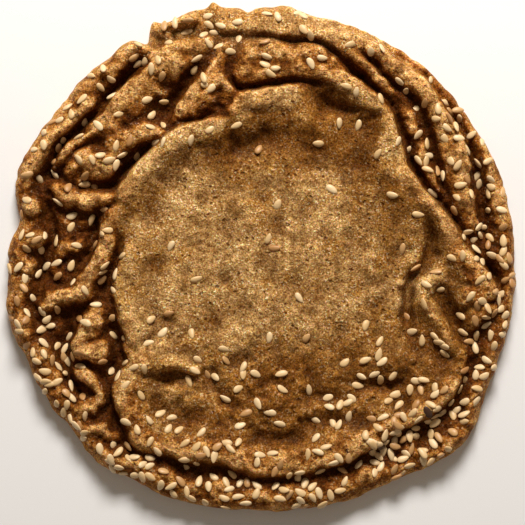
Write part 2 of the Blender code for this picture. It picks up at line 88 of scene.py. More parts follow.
# Rim folds follow the outline: from and to bearing, inset at each, crest height, outer and inner half width
RIM_FOLDS = {
    "thin right rim": (28, 80, 1.6, 1.6, 5.4, 2.4, 2.0),
    "right rim": (-14, 30, 2.6, 2.0, 6.2, 2.6, 2.6),
    "far left rim": (117, 140, 2.6, 2.4, 6.4, 2.6, 3.6),
    "upper left rim": (137, 161, 5.6, 3.4, 7.2, 4.0, 2.2),
    "left rim": (160, 200, 3.6, 3.6, 6.2, 4.0, 2.4),
    "left rim crag": (192, 200, 2.6, 2.6, 6.6, 2.8, 2.6),
    "lower left rim": (200, 238, 4.6, 3.6, 5.9, 4.4, 3.0),
    "near rim": (236, 292, 4.0, 4.0, 6.2, 4.4, 4.0),
    "corner rim": (290, 346, 3.4, 2.6, 5.6, 3.2, 3.2),
}
# Folds that wander between the middle and the rim: crest height, half width on the left and right, route
FOLDS = {
    "far crust": (7.0, 5.0, 1.4, [(-8, 53.6), (-3, 53.2), (5, 53), (10, 52.4), (15, 50.6)]),
    "ring inner rib": (7.3, 2.4, 2.2, [(14, 52), (19, 49.4), (23, 46), (26.4, 42.8), (29.4, 39.4)]),
    "ring floor": (6.0, 3.0, 3.0, [(32, 36.6), (35, 31), (37, 25), (38.8, 19), (42, 13)]),
    "ring outer rib": (7.5, 2.4, 5.0, [
        (17, 53), (24, 50), (30.4, 45.6), (36, 40.6), (41, 34.6), (44.4, 29), (46.4, 23), (47, 15),
        (49, 9),
    ]),
    "far crag": (6.8, 2.0, 1.3, [(-22.5, 54.8), (-15.5, 55.2)]),
    "far bulge": (8.1, 6.0, 9.0, [(-5, 46.6), (3, 47.2), (10, 46.6), (15.5, 44.6)]),
    "bulge tail": (7.9, 2.2, 4.4, [(12, 44.6), (17.5, 41.8), (22, 39.8), (26, 37), (29.4, 33.4)]),
    "bulge knob": (7.3, 1.8, 1.8, [(-9.4, 47.8), (-9, 45.8)]),
    "far bank": (7.0, 6.5, 7.0, [(-8, 32), (-3, 34), (2, 35), (8, 34.4), (13, 32.4)]),
    "far lip": (7.9, 1.8, 5.4, [(-8, 33.6), (-5.8, 34.6), (-4.2, 37.2), (0, 38.8), (5, 39.4), (9.4, 38.8)]),
    "arch west": (7.7, 1.8, 6.4, [(-20.8, 31.6), (-18.8, 36.4), (-14, 40.6), (-10.8, 44.6)]),
    "arch east": (7.7, 1.4, 3.0, [(-10.8, 44.6), (-9.2, 41.2), (-7.2, 39), (-5.4, 37.4)]),
    "arch step": (6.9, 1.4, 1.6, [(-10.8, 37.4), (-8.5, 35.9), (-6, 35)]),
    "left spur": (8.0, 1.9, 7.2, [
        (-38.5, 31), (-35, 34.6), (-31.4, 38.6), (-27.6, 42), (-22.6, 45.4), (-17, 47.8),
    ]),
    "spur head": (7.9, 2.4, 2.6, [(-24.6, 47), (-20, 48.8), (-15.6, 49.4), (-12.6, 48.8)]),
    "left fold": (7.6, 1.7, 4.6, [(-21.5, 28.8), (-28, 27.6), (-32.5, 26), (-35.4, 22.6)]),
    "left knob": (8.0, 5.0, 3.0, [(-36.6, 22.6), (-39.5, 23), (-42.6, 21.8)]),
    "knob spur": (6.9, 1.8, 1.8, [(-47.5, 21.6), (-44.5, 25.6), (-40, 28), (-36, 30.6)]),
    "shelf fold": (7.1, 2.2, 3.0, [(-34.2, 14.4), (-39, 13.2), (-43, 13.8), (-48, 16.6)]),
    "left wing": (4.8, 2.2, 2.2, [(-56, 20), (-56, 13)]),
    "left roll": (7.6, 3.4, 2.2, [(-31.6, 14), (-35, 8.6), (-36.4, 2), (-39.2, -2), (-41.4, -5)]),
    "roll foot": (7.3, 3.0, 2.2, [(-41.4, -5), (-41.6, -7.6), (-46, -8.8), (-50.5, -9.6)]),
    "left hump": (5.0, 3.6, 2.6, [(-40.6, 5), (-44, 3), (-49, 1)]),
    "near left ledge": (6.7, 3.2, 1.6, [
        (-31.4, -21), (-29, -24.2), (-25, -25.3), (-20, -25), (-16.4, -26.2),
    ]),
    "near left lobe": (7.5, 3.6, 2.2, [(-38.6, -12.6), (-40.6, -17), (-42.4, -21), (-36.4, -22.8)]),
    "near left curl": (6.9, 1.8, 1.8, [(-43.8, -26.8), (-39.4, -27.8), (-37, -31.5), (-38.4, -33.6)]),
    "near left knob": (7.3, 2.8, 2.6, [(-39.8, -34.4), (-43, -35)]),
    "near left shelf": (6.5, 1.6, 2.4, [(-42.4, -39.4), (-38, -39), (-34.4, -41)]),
    "right lobe": (7.2, 3.2, 3.2, [(41.8, -3.4), (38.2, -6.6), (37.6, -9.6), (40.6, -13.6), (46, -21)]),
    "right knuckle": (6.3, 2.4, 2.6, [(40, -3), (44, -5), (47.6, -6.4)]),
    "right pad": (7.1, 3.2, 3.4, [(54, -10.2), (50.6, -12), (48, -15.4)]),
}
# Lumps on the rim and the shelf: place, half width and crest height
LUMPS = [
    (-12.2, 49.8, 2.2, 7.4), (-37.2, 43.6, 2.6, 6.7), (-53, 12, 2.6, 7.6), (-52.6, 4.4, 2.4, 7.2),
    (-54.4, -2, 2.7, 7.0), (-58.6, -10, 2.2, 6.0), (-56, -15, 2.8, 6.8), (-50.6, -22.8, 2.4, 6.4),
    (-48, -31, 2.8, 6.6), (20, -52.6, 2.6, 6.2), (34.8, 3.4, 2.4, 6.1), (32.6, -6, 2.2, 5.8),
]
# Creases and hollows: half width, depth, route
CREASES = {
    "right crease": (1.6, 3.2, [
        (38.2, 10), (39.4, 6), (39.2, 1), (37.6, -2.6), (34.8, -5.4), (33.8, -10), (33.6, -17),
    ]),
    "roll crease": (1.0, 2.4, [
        (31, 35.6), (32.6, 30), (34, 23.4), (39, 16.8), (44.6, 9.4), (50, 1), (54.6, -4), (56, -13),
    ]),
    "ring crease": (0.9, 2.0, [
        (23.6, 47.4), (27, 44.2), (30, 41), (33.6, 37.8), (37.4, 33.6), (39.6, 28), (41.4, 21),
        (44.4, 10.6),
    ]),
    "rim crease": (1.1, 2.3, [
        (14, 55), (25, 51.4), (32, 47.6), (38, 42.4), (43, 37), (48, 28), (50.4, 20), (52.4, 8), (53, 3),
    ]),
    "far crease": (0.7, 2.0, [
        (-5, 51), (4, 51.2), (12, 50.2), (16.6, 47.6), (20.4, 44), (24, 41.4), (28, 38),
    ]),
    "bulge crease": (0.7, 2.0, [(-7.4, 43.4), (-5.6, 39), (-2, 39.6), (4, 40.7), (10, 41), (15, 40)]),
    "bulge notch": (0.9, 1.8, [(-6.4, 48.4), (-7.6, 44)]),
    "bulge dent": (1.6, 0.9, [(-1.4, 42.4), (1, 45.4), (6, 45.6)]),
    "far hollow": (2.5, 3.5, [(12, 38.4), (14.6, 36.6), (18.4, 35.2)]),
    "tail crease": (1.0, 1.3, [(16, 36), (19, 35), (24, 34.6)]),
    "bank hollow": (3.6, 2.1, [(-9, 26.4), (-2, 27.2), (5, 29.2)]),
    "lip foot": (0.8, 0.3, [(-6.4, 32.2), (-3.4, 34), (3, 34.6), (8.6, 34)]),
    "arch valley": (1.3, 2.8, [(-22.4, 31.4), (-20.6, 36), (-17.6, 41.4), (-13.8, 45.4)]),
    "arch foot": (0.7, 1.3, [(-21.4, 30.2), (-16.6, 32), (-12, 32.8), (-8, 33.2)]),
    "spur dent": (2.0, 2.2, [(-26, 32.4), (-24, 34.4), (-23.4, 38.6)]),
    "lip crevice": (1.3, 3.0, [(-23, 27.8), (-29, 23.6), (-34, 17.4), (-39, 16.6)]),
    "far left valley": (1.2, 2.3, [
        (-49, 16), (-48.8, 23), (-44, 29.2), (-38, 34), (-32.8, 41.4), (-28.6, 45.2),
    ]),
    "left valley": (1.4, 2.6, [(-49.4, 13), (-48.6, 5.6), (-50.8, -2), (-52, -8.6)]),
    "roll side": (1.0, 2.2, [(-36.6, 10.4), (-39.6, 5), (-40.4, 0), (-43.4, -4.6)]),
    "lip crease": (1.1, 1.6, [(-34, 7), (-32.8, 2), (-33.8, -4)]),
    "roll hollow": (2.2, 2.6, [(-36, -5), (-37.4, -8)]),
    "lobe crease": (1.6, 2.4, [(-35.4, -14.6), (-33.6, -20), (-34.6, -26), (-38.6, -26.4)]),
    "lobe side": (1.4, 2.4, [(-46, -13), (-45, -17.4), (-46, -24), (-42.6, -31.6)]),
    "curl crease": (1.4, 2.2, [(-36, -28.6), (-35.4, -34.6), (-31.6, -40)]),
    "right hollow": (1.8, 2.4, [(42, -7.4), (44.4, -11), (45.6, -16), (48.6, -21)]),
    "near right step": (1.6, 2.0, [(22.5, -28.8), (28, -29.6), (34, -28.8)]),
    "near step": (1.9, 1.3, [(9, -31.6), (15, -32), (21.5, -32.2)]),
    "near dip": (1.9, 1.3, [(8, -39.2), (16, -38.4), (28, -36.8)]),
    "near hollow": (1.8, 1.6, [(-4, -39.4), (3, -42), (13, -42)]),
    "near left step": (1.3, 1.4, [(-29, -27.2), (-24, -28.2), (-18, -28.2)]),
    "near left hollow": (2.0, 1.5, [(-25.6, -31), (-23.6, -35.5), (-19, -37), (-13, -36.6)]),
    "near left dip": (1.8, 1.3, [(-11.5, -29), (-9.2, -33), (-4, -35.5)]),
}
# How thickly the seeds lie outside the middle: bearing, seeds per square centimetre
RIM_SEEDS = [
    (0, 24), (12, 22), (25, 17), (45, 9), (70, 8), (90, 7), (105, 9), (130, 11), (150, 13), (175, 14),
    (190, 16), (212, 17), (230, 14), (245, 20), (265, 22), (285, 18), (305, 28), (325, 28), (345, 22),
    (360, 24),
]
MOST_SEEDS = 40.0


def noise(x, y, size, seed):
    """Smooth noise from -1 to 1, with features of that size."""
    table = np.random.default_rng(seed).uniform(-1, 1, (128, 128))
    turned_x, turned_y = x * math.cos(seed) - y * math.sin(seed), x * math.sin(seed) + y * math.cos(seed)
    u, v = turned_x / size + 64.37, turned_y / size + 64.11
    i, j = np.floor(u).astype(int), np.floor(v).astype(int)
    u, v = u - i, v - j
    u, v = u ** 3 * (u * (u * 6 - 15) + 10), v ** 3 * (v * (v * 6 - 15) + 10)
    i, j, i1, j1 = i % 128, j % 128, (i + 1) % 128, (j + 1) % 128
    near_side = table[i, j] * (1 - u) + table[i1, j] * u
    far_side = table[i, j1] * (1 - u) + table[i1, j1] * u
    return near_side * (1 - v) + far_side * v


def outline_radius(theta):
    """Distance from the centre to the outline, with its bumps and its crumbled edge."""
    degrees = np.degrees(theta)
    radius = RADIUS
    for bearing, width, high in OUTLINE_BUMPS:
        off = (degrees - bearing + 180) % 360 - 180
        radius = radius + high * np.exp(-(off / width) ** 2)
    x, y = RADIUS * np.cos(theta), RADIUS * np.sin(theta)
    return radius + 0.35 * noise(x, y, 4.0, 5) + 0.2 * noise(x, y, 1.8, 6)


def smooth_route(points, step=0.8, closed=False):
    """Points every step along a smooth curve through the given ones."""
    pts = np.array(points, float)
    before, after = 2 * pts[:1] - pts[1:2], 2 * pts[-1:] - pts[-2:-1]
    if closed:
        before, after = pts[-1:], pts[:2]
    pts = np.vstack([before, pts, after])
    route = []
    for a, b, c, d in zip(pts[:-3], pts[1:-2], pts[2:-1], pts[3:]):
        t = np.arange(0, 1, step / max(step, math.dist(b, c)))[:, None]
        route.append(b + 0.5 * t * (c - a + t * (2 * a - 5 * b + 4 * c - d + t * (3 * (b - c) + d - a))))
    route.append(pts[-2:-1])
    return np.vstack(route)


def route_distance(x, y, route, reach=REACH):
    """Distance to a route; the side, 1 on its left and -1 on its right; and how far the nearer end is."""
    dist, side, end = np.full(x.shape, reach), np.ones(x.shape), np.zeros(x.shape)
    low, high = route.min(axis=0) - reach, route.max(axis=0) + reach
    near = (x > low[0]) & (x < high[0]) & (y > low[1]) & (y < high[1])
    px, py = x[near], y[near]
    best, turn, way = np.full(px.shape, reach), np.ones(px.shape), np.zeros(px.shape)
    done = 0.0
    for (ax, ay), (bx, by) in zip(route[:-1], route[1:]):
        dx, dy = bx - ax, by - ay
        length = math.hypot(dx, dy)
        if length == 0:
            continue
        t = np.clip(((px - ax) * dx + (py - ay) * dy) / length ** 2, 0, 1)
        gap = np.hypot(px - ax - t * dx, py - ay - t * dy)
        closer = gap < best
        best = np.where(closer, gap, best)
        turn = np.where(closer, (dx * (py - ay) - dy * (px - ax)) / (length * np.maximum(gap, 1e-9)), turn)
        way = np.where(closer, done + t * length, way)
        done += length
    dist[near], side[near], end[near] = best, np.clip(turn, -1, 1), np.minimum(way, done - way)
    return dist, side, end


def raise_fold(z, x, y, crest, off, width, end, seed):
    """Raise a fold: a round crest, then steep flanks. It swells along its way and sinks at its ends."""
    u = np.abs(off) / width
    swell = (0.45 * noise(x, y, 4.5, seed) + 0.25 * noise(x, y, 2.2, seed + 1)) * np.exp(-u * u)
    sink = 1.0 * (1 - np.clip(end / 4.0, 0, 1)) ** 2 + np.clip(-end, 0, REACH)
    top = crest + swell - sink - FALL * np.where(u < 1, u * u, 2 * u - 1)
    top = np.where(np.abs(off) < REACH, top, -REACH)
    blend = np.clip(0.25 * width, 0.4, 1.8)
    h = np.clip(0.5 + 0.5 * (z - top) / blend, 0, 1)
    return top + h * (z - top + blend * (1 - h))


def height(x0, y0):
    """Height of the top over the underside, without the rounding of its edge."""
    x = x0 + 0.5 * noise(x0, y0, 6.5, 11) + 0.35 * noise(x0, y0, 2.4, 12)
    y = y0 + 0.5 * noise(x0, y0, 6.5, 13) + 0.35 * noise(x0, y0, 2.4, 14)
    theta = np.arctan2(y, x)
    bearing = np.degrees(theta)
    dist, side, _ = route_distance(x, y, smooth_route(MIDDLE_EDGE, closed=True), 2 * RADIUS)
    inner = dist * np.sign(side)
    rim = outline_radius(theta) - np.hypot(x, y)

    step = np.clip((inner + 0.7) / 1.8, 0, 1)
    step = step * step * (3 - 2 * step)
    lumpy = np.abs(noise(x, y, 5.0, 21)) + 0.6 * np.abs(noise(x, y, 2.6, 22))
    shelf = SHELF - 0.7 + 1.2 * lumpy
    near_side = np.clip((-y0 - 8) / 22, 0, 1)
    bowl = MIDDLE + 0.35 * noise(x0, y0, 15, 23) + (0.45 + 0.4 * near_side) * noise(x0, y0, 5.5, 24)
    bowl = bowl + (0.26 + 0.3 * near_side) * noise(x0, y0, 2.8, 25)
    bowl = bowl + BOWL * np.clip(1 - inner / 16, 0, 1) ** 2
    z = shelf + (bowl - shelf) * step

    for seed, (start, stop, inset, crest, outer, into) in enumerate(LIPS.values(), 40):
        along = (bearing - start + 90) % 360 - 90
        end = np.minimum(along, stop - start - along) * math.radians(RADIUS * 0.7)
        off = inner - inset
        z = raise_fold(z, x, y, crest, off, np.where(off > 0, into, outer), end, seed)
    for seed, (start, stop, inset, inset_to, crest, outer, into) in enumerate(RIM_FOLDS.values(), 50):
        along = (bearing - start + 90) % 360 - 90
        end = np.minimum(along, stop - start - along) * math.radians(RADIUS)
        off = rim - inset - (inset_to - inset) * along / (stop - start)
        z = raise_fold(z, x, y, crest, off, np.where(off > 0, into, outer), end, seed)
    for seed, (crest, left, right, points) in enumerate(FOLDS.values(), 60):
        dist, side, end = route_distance(x, y, smooth_route(points))
        width = (left + right) / 2 + (left - right) / 2 * side
        z = raise_fold(z, x, y, crest, dist, width, end, seed)
    for seed, (lump_x, lump_y, width, crest) in enumerate(LUMPS, 100):
        off = np.hypot(x - lump_x, y - lump_y)
        z = raise_fold(z, x, y, crest, off, width, REACH, seed)
    for width, depth, points in CREASES.values():
        dist, side, end = route_distance(x, y, smooth_route(points))
        z = z - depth * (0.3 + 0.7 * np.clip(end / 4.0, 0, 1)) * np.exp(-(dist / width) ** 2)
    outside = np.clip(0.5 - inner / 3, 0, 1)
    lumps = 0.3 * noise(x, y, 3.2, 26) + 0.22 * noise(x, y, 1.7, 27)
    return np.maximum(z + outside * lumps, 1.5)


# --- mesh ---
TOP_CELLS = 300  # across the top
CROWDING = 0.86  # power that draws the rings of cells together towards the rim
SIDE_STEPS = [  # down the side and under: how far in, and the share of height left
    (0.0, 0.85), (0.1, 0.8), (0.2, 0.65), (0.3, 0.5), (0.35, 0.25), (0.4, 0.0), (44.0, 0.0),
]
BLUR_CELLS = 7  # relief is measured against the mean of this many cells each way
HIGH_CREST = 8.0  # what stands over this is halved, to stay inside the solid's box

# Seeds, in millimetres
SEED_SPACING = 1.5  # least distance between seeds on the crust
PILE_SPACING = 2.0  # least distance between seeds that lie on others
PILE_LIFT = 0.55  # how high those lie over the crust
PILE_FOOT = 8  # a pile has seeds on others where it has more than this to a square centimetre
SEED_CLEARANCE = 0.9  # least distance from a seed's middle to the outline
SEED_FOOT = 0.9  # how far round a seed's middle the slope under it is taken
SEED_PROUD = 0.2  # how far a seed may stand above the solid's top
PILES = [  # where seeds lie in piles: x, y, half width and how many more to a square centimetre
    (34, -41, 6, 44), (28, -46, 5, 28), (44, -34, 4, 14), (17, -50, 5, 14), (-33, -46, 4, 22),
    (52, 3, 5, 18), (-50, -29, 4, 16), (53, 18, 4, 14), (48, 30, 3, 10), (-56, -14, 3, 16),
    (-44, -38, 4, 14), (55, -12, 4, 12),
]
SEED_KINDS = {  # share of the seeds, pale and dark colour
    "sesame_pale": (0.80, (0.86, 0.64, 0.37), (0.72, 0.47, 0.21)),
    "sesame_toasted": (0.195, (0.66, 0.39, 0.16), (0.46, 0.22, 0.07)),
    "sesame_dark": (0.005, (0.12, 0.05, 0.02), (0.05, 0.02, 0.01)),
}

# Colours of the crust. A ramp is a list of values with a colour or a tint for each.
LACE_TONE = (0.84, 0.60, 0.32)
# Painted glint colour: pale specks that stand in for the lamp's highlights
PAINTED_GLINT_TONE = (0.95, 0.78, 0.50)
# Painted shade inside holes and pores
PAINTED_PORE_SHADE = (0.11, 0.034, 0.005)
PLAIN = (1, 1, 1)
# Middle colours by toast, which also holds the painted shadow under the far lip
MIDDLE_RAMP = [(0.0, (0.515, 0.286, 0.098)), (0.5, (0.32, 0.142, 0.028)), (1.0, (0.22, 0.081, 0.011))]
FOLD_RAMP = [  # from the bottom of a valley to a fold's ridge; the dark valleys are painted shade as well as browner crust
    (-1.2, (0.165, 0.050, 0.008)), (-0.35, (0.17, 0.050, 0.006)), (0.2, (0.245, 0.078, 0.009)),
    (0.65, (0.38, 0.154, 0.032)), (1.1, (0.43, 0.198, 0.055)),
]
# Painted shade by relief: hollows tinted darker, crests paler
RELIEF_SHADE_TINTS = [(-0.5, (0.54, 0.45, 0.35)), (0.0, PLAIN), (0.4, (1.2, 1.25, 1.32)), (1.0, (1.4, 1.6, 1.9))]
CRUMB_TINTS = [
    (0.3, (0.5, 0.42, 0.3)), (0.46, (0.88, 0.85, 0.8)), (0.56, (1.06, 1.08, 1.1)),
    (0.68, (1.2, 1.26, 1.34)),
]
PATCH_TINTS = [(0.34, (0.5, 0.41, 0.3)), (0.5, (0.98, 0.98, 0.98)), (0.66, (1.2, 1.25, 1.32))]
SPECK_TINTS = [(0.36, (0.63, 0.56, 0.47)), (0.5, PLAIN), (0.64, (1.4, 1.5, 1.65))]
LACE_TINT = (1.6, 1.75, 2.0)
# Tint of the painted glints, which stand in for highlights
PAINTED_GLINT_TINT = (1.8, 2.1, 2.5)

# Light, floor and camera
KEY_SIZE = (0.23, 0.14)  # metres
KEY_WATTS = 5.0
KEY_TONE = (1.0, 0.97, 0.93)
KEY_ELEVATION = 38  # degrees over the floor, from the far side
KEY_EAST = 0.05  # how far to the right, as a share of its distance
KEY_DISTANCE = 0.6  # metres
WORLD_TONE = (1, 0.84, 0.66)
WORLD_STRENGTH = 0.20
FLOOR_SIZE = 12  # metres
FLOOR_GAP = 0.05  # millimetres under the cookie
LENS = 100
VIEW_WIDTH = 123.05  # millimetres that the picture takes in at that place's height
VIEW_CENTRE = (0.35, -0.94, 2.0)  # millimetres from the form's origin, on the floor


def near_share(y):
    """How far a place is towards the near side of the middle, from 0 to 1."""
    return np.clip((-y - 8) / 22, 0, 1)


def crumb(x, y, coarse):
    """Fine relief: lumps and grain. Coarse is 0 on the smooth middle and 1 outside it."""
    lumps = (0.1 + 0.15 * coarse) * noise(x, y, 2.2, 31) + (0.08 + 0.2 * coarse) * noise(x, y, 1.2, 32)
    return lumps + (0.05 + 0.12 * coarse) * noise(x, y, 0.85, 33)


def pits(x, y, size, seed):
    """Depth of round bubbles of random place and width, one at most to a square of that size, 0 to 1."""
    rng = np.random.default_rng(seed)
    across, up, width = rng.uniform(0, 1, (3, 251, 251))
    u, v = x / size + 502, y / size + 502
    i, j = np.floor(u).astype(int), np.floor(v).astype(int)
    depth = np.zeros(x.shape)
    for di in (-1, 0, 1):
        for dj in (-1, 0, 1):
            a, b = (i + di) % 251, (j + dj) % 251
            half = 0.45 * np.clip(width[a, b] - 0.5, 0.001, 1)
            gap = np.hypot(i + di + across[a, b] - u, j + dj + up[a, b] - v)
            depth = np.maximum(depth, np.clip(1 - (gap / half) ** 2, 0, 1) * width[a, b])
    return depth


def blurred(field, cells):
    """The field averaged over that many cells each way, twice."""
    size = 2 * cells + 1
    for axis in (0, 1, 0, 1):
        wide = [(cells + 1, cells) if a == axis else (0, 0) for a in (0, 1)]
        total = np.cumsum(np.pad(field, wide, mode="edge"), axis=axis)
        behind = np.take(total, np.arange(field.shape[axis]), axis=axis)
        ahead = np.take(total, np.arange(field.shape[axis]) + size, axis=axis)
        field = (ahead - behind) / size
    return field


def middle_distance(x, y):
    """Distance to the edge of the middle, positive inside it."""
    dist, side, _ = route_distance(x, y, smooth_route(MIDDLE_EDGE, closed=True), 2 * RADIUS)
    return dist * np.sign(side)


BEARINGS = np.radians(np.arange(0, 360, 0.5))
OUTLINE = outline_radius(BEARINGS)
OUTLINE_X = OUTLINE * np.cos(BEARINGS)
OUTLINE_Y = OUTLINE * np.sin(BEARINGS)
MM = (HIGHEST.x - LOWEST.x) / (OUTLINE_X.max() - OUTLINE_X.min())  # metres to one millimetre of the form
ORIGIN = Vector((LOWEST.x - OUTLINE_X.min() * MM, LOWEST.y - OUTLINE_Y.min() * MM, LOWEST.z))


def in_frame(points):
    """Points of the form, in millimetres, placed in the frame."""
    return np.asarray(points) * MM + np.array(ORIGIN)


def round_grid(bm):
    """Where a square grid's points go on a round top: bearing, share of the way out, and grid place."""
    u, v = np.array([vert.co.xy for vert in bm.verts]).T
    wide = np.abs(u) >= np.abs(v)
    long, short = np.where(wide, u, v), np.where(wide, v, u)
    across = short * long / np.maximum(long ** 2, 1e-12)
    eighths = np.where(wide, across + np.where(u < 0, 4, 0), 2 - across + np.where(v < 0, 4, 0))
    share = np.maximum(np.abs(u), np.abs(v)) ** CROWDING
    cells = np.rint((np.stack([u, v]) + 1) / 2 * TOP_CELLS).astype(int)
    return eighths * math.pi / 4, share, cells


def baked_and_painted_light(x, y, z, inside):
    """How much a place is fold and not middle, and how toasted the middle is there, each 0 to 1. The toast
    also holds a painted shadow under the far lip, and both are lowered on the far lip's crest and the far
    rim as painted light.
    """
    high = np.clip((z - 6.9 + 0.8 * near_share(y)) / 0.8, 0, 1)
    fold = np.maximum(high, np.clip(0.7 - inside / 2.5, 0, 1))
    # far_side: a painted shadow of the far lip, darkening the middle below it as more toast
    far_side = np.clip((y - 16) / 12, 0, 1) * np.clip((x + 14) / 14, 0, 1)
    toast_and_lip_shadow = 0.9 - inside / 26 + near_share(y) * np.clip((x + 32) / 30, 0.2, 1)
    toast_and_lip_shadow = toast_and_lip_shadow + 0.8 * far_side - 0.4 * np.clip((-x - 8) / 12, 0, 1)
    toast_and_lip_shadow = toast_and_lip_shadow + 0.4 * np.clip((x - 18) / 8, 0, 1) * np.clip((y - 6) / 10, 0, 1)
    # Painted light: the far lip's crest and the far rim are made paler, as if lit more strongly
    painted_lip_light = np.clip(inside, 0, 1) * np.clip((y - 8) / 12, 0, 1) * np.clip((z - 6.6) / 0.8, 0, 1)
    pale = np.maximum(painted_lip_light, np.clip((y - 44) / 8, 0, 1))
    return fold * (1 - 0.6 * pale), np.clip(toast_and_lip_shadow, 0, 1) * (1 - 0.8 * pale)


def relief_tone(x, y, z, inward, fold, cells):
    """How far a place stands over what is round it, in millimetres; less on low folds and more on high
    ones, so that the colour paints shade in low places, and less towards the left and right sides.
    """
    field = np.zeros((TOP_CELLS + 1, TOP_CELLS + 1))
    field[cells[0], cells[1]] = z
    relief = (field - blurred(field, BLUR_CELLS))[cells[0], cells[1]]
    # Low folds read lower, so the colour paints shade on them
    relief = relief + 0.22 * np.clip(z - 6.2, -1.6, 1.0) * fold
    relief = relief - 0.3 * np.clip((np.abs(x) - 36) / 12, 0, 1) * np.clip((24 - y) / 16, 0, 1)
    return np.maximum(relief, 0.8 - inward / 4)


def close_body(bm):
    """Draw the open edge down the side and under, and close the underside."""
    for inset, left in SIDE_STEPS:
        rim = [edge for edge in bm.edges if edge.is_boundary]
        fresh = bmesh.ops.extrude_edge_only(bm, edges=rim)["geom"]
        for vert in fresh:
            if isinstance(vert, bmesh.types.BMVert):
                vert.co.xy *= 1 - inset * MM / vert.co.xy.length
                vert.co.z *= left
    bmesh.ops.holes_fill(bm, edges=[edge for edge in bm.edges if edge.is_boundary], sides=0)
    bmesh.ops.triangulate(bm, faces=[face for face in bm.faces if len(face.verts) > 4])
    bmesh.ops.recalc_face_normals(bm, faces=bm.faces)


def crust_mesh():
    """The cookie's own body: a fine grid drawn out to the outline, with its side and underside."""
    bm = bmesh.new()
    bmesh.ops.create_grid(bm, x_segments=TOP_CELLS, y_segments=TOP_CELLS, size=1)
    theta, share, cells = round_grid(bm)
    radius = outline_radius(theta)
    x, y = radius * share * np.cos(theta), radius * share * np.sin(theta)
    z = height(x, y)
    near_side = near_share(y)
    fold, toast_and_lip_shadow = baked_and_painted_light(x, y, z, middle_distance(x, y))
    z = z + crumb(x, y, np.maximum(fold, 0.75 * near_side))
    relief = relief_tone(x, y, z, radius * (1 - share), fold, cells)
    z = z - (0.28 + 0.2 * near_side) * pits(x, y, 2.3, 71) - 0.25 * near_side * pits(x, y, 1.5, 72)
    z = z - 0.5 * np.maximum(z - HIGH_CREST, 0)
    inward = 1 - np.clip(radius * (1 - share) / RIM_WIDTH, 0, 1)
    z = z * (RIM_SHARE + (1 - RIM_SHARE) * np.sqrt(1 - inward ** 2))
    for vert, place in zip(bm.verts, in_frame(np.stack([x, y, z], 1))):
        vert.co = place
    for name, values in (("fold", fold), ("toast_and_lip_shadow", toast_and_lip_shadow), ("relief", relief)):
        layer = bm.verts.layers.float.new(name)
        for vert, value in zip(bm.verts, values):
            vert[layer] = value
    close_body(bm)
    mesh = bpy.data.meshes.new("cookie_crust")
    bm.to_mesh(mesh)
    bm.free()
    mesh.shade_smooth()
    return mesh


# --- seeds ---
def piled(x, y):
    """The extra seeds per square centimetre where they lie in piles."""
    return sum(more * np.exp(-((x - a) ** 2 + (y - b) ** 2) / wide ** 2) for a, b, wide, more in PILES)


def piled_on_top(x, y):
    """The seeds per square centimetre that lie on others."""
    return 0.5 * np.maximum(piled(x, y) - PILE_FOOT, 0)


def seed_density(x, y):
    """Seeds to a square centimetre of crust: few on the middle, more on its near side, most on the rim."""
    bearings, outside = np.array(RIM_SEEDS, float).T
    theta = np.arctan2(y, x)
    thick = np.interp(np.degrees(theta) % 360, bearings, outside)
    rim = outline_radius(theta) - np.hypot(x, y)
    sheltered = np.clip((rim - 7) / 4, 0, 1) * np.clip(np.maximum(-x / 10, y / 16), 0, 1)
    thick = thick * (1 - 0.6 * sheltered)
    thin = 0.8 + 5.0 * np.clip((-y - 14) / 22, 0, 1) + 2.0 * np.clip((x - 18) / 16, 0, 1)
    outside_share = np.clip(0.5 - middle_distance(x, y) / 5, 0, 1)
    spread = (thin + (thick - thin) * outside_share) * (1 + 0.9 * noise(x, y, 7.0, 36))
    return spread + piled(x, y)


def scatter(density, spacing, seed):
    """Where seeds lie, as x, y and turn: drawn by that density, at least the spacing apart."""
    rng = np.random.default_rng(seed)
    width = 2.2 * RADIUS
    tries = int(MOST_SEEDS * (width / 10) ** 2)
    x, y = rng.uniform(-width / 2, width / 2, (2, tries))
    chance = rng.uniform(0, MOST_SEEDS, tries)
    turn = rng.uniform(0, 2 * math.pi, tries)
    rim = outline_radius(np.arctan2(y, x)) - np.hypot(x, y)
    lies = (chance < density(x, y)) & (rim > SEED_CLEARANCE)
    places = []
    for spot in zip(x[lies], y[lies], turn[lies]):
        if all(math.dist(spot[:2], other[:2]) > spacing for other in places):
            places.append(spot)
    return places


def seed_base():
    """A ball's points and faces, one across, with its poles along X.

    Swapping X and Z mirrors the ball, so each face's order is turned round to face out again.
    """
    bm = bmesh.new()
    bmesh.ops.create_uvsphere(bm, u_segments=14, v_segments=9, radius=0.5)
    points = np.array([vert.co for vert in bm.verts])[:, ::-1]
    bm.verts.ensure_lookup_table()
    faces = [[vert.index for vert in face.verts][::-1] for face in bm.faces]
    bm.free()
    return points, faces


def seed_shape(base, rng):
    """One seed's points in millimetres, lying along X: a flattened drop of its own size and bend."""
    length, width, thick = np.array(SEED_SIZE) * rng.uniform([0.88, 0.88, 0.85], [1.1, 1.1, 1.15])
    taper = 1 - rng.uniform(0.2, 0.42) * (base[:, :1] + 0.5) ** 1.5
    bend = rng.uniform(-0.06, 0.06)
    form = np.hstack([base[:, :1], base[:, 1:2] * taper, base[:, 2:] * taper]) * (length, width, thick)
    form[:, 1] += bend * length * (2 * base[:, 0]) ** 2
    return form


def ground(surface, x, y):
    """Where the crust lies at a place, and the way it faces; None where its edge is too near."""
    spot = Vector((x * MM + ORIGIN.x, y * MM + ORIGIN.y, 1))
    hits = []
    for dx, dy in ((0, 0), (1, 0), (0, 1), (-1, 0), (0, -1)):
        hit, _, _, _ = surface.ray_cast(spot + Vector((dx, dy, 0)) * SEED_FOOT * MM, Vector((0, 0, -1)))
        hits.append(hit)
    if None in hits:
        return None
    return hits[0], (hits[1] - hits[3]).cross(hits[2] - hits[4]).normalized()


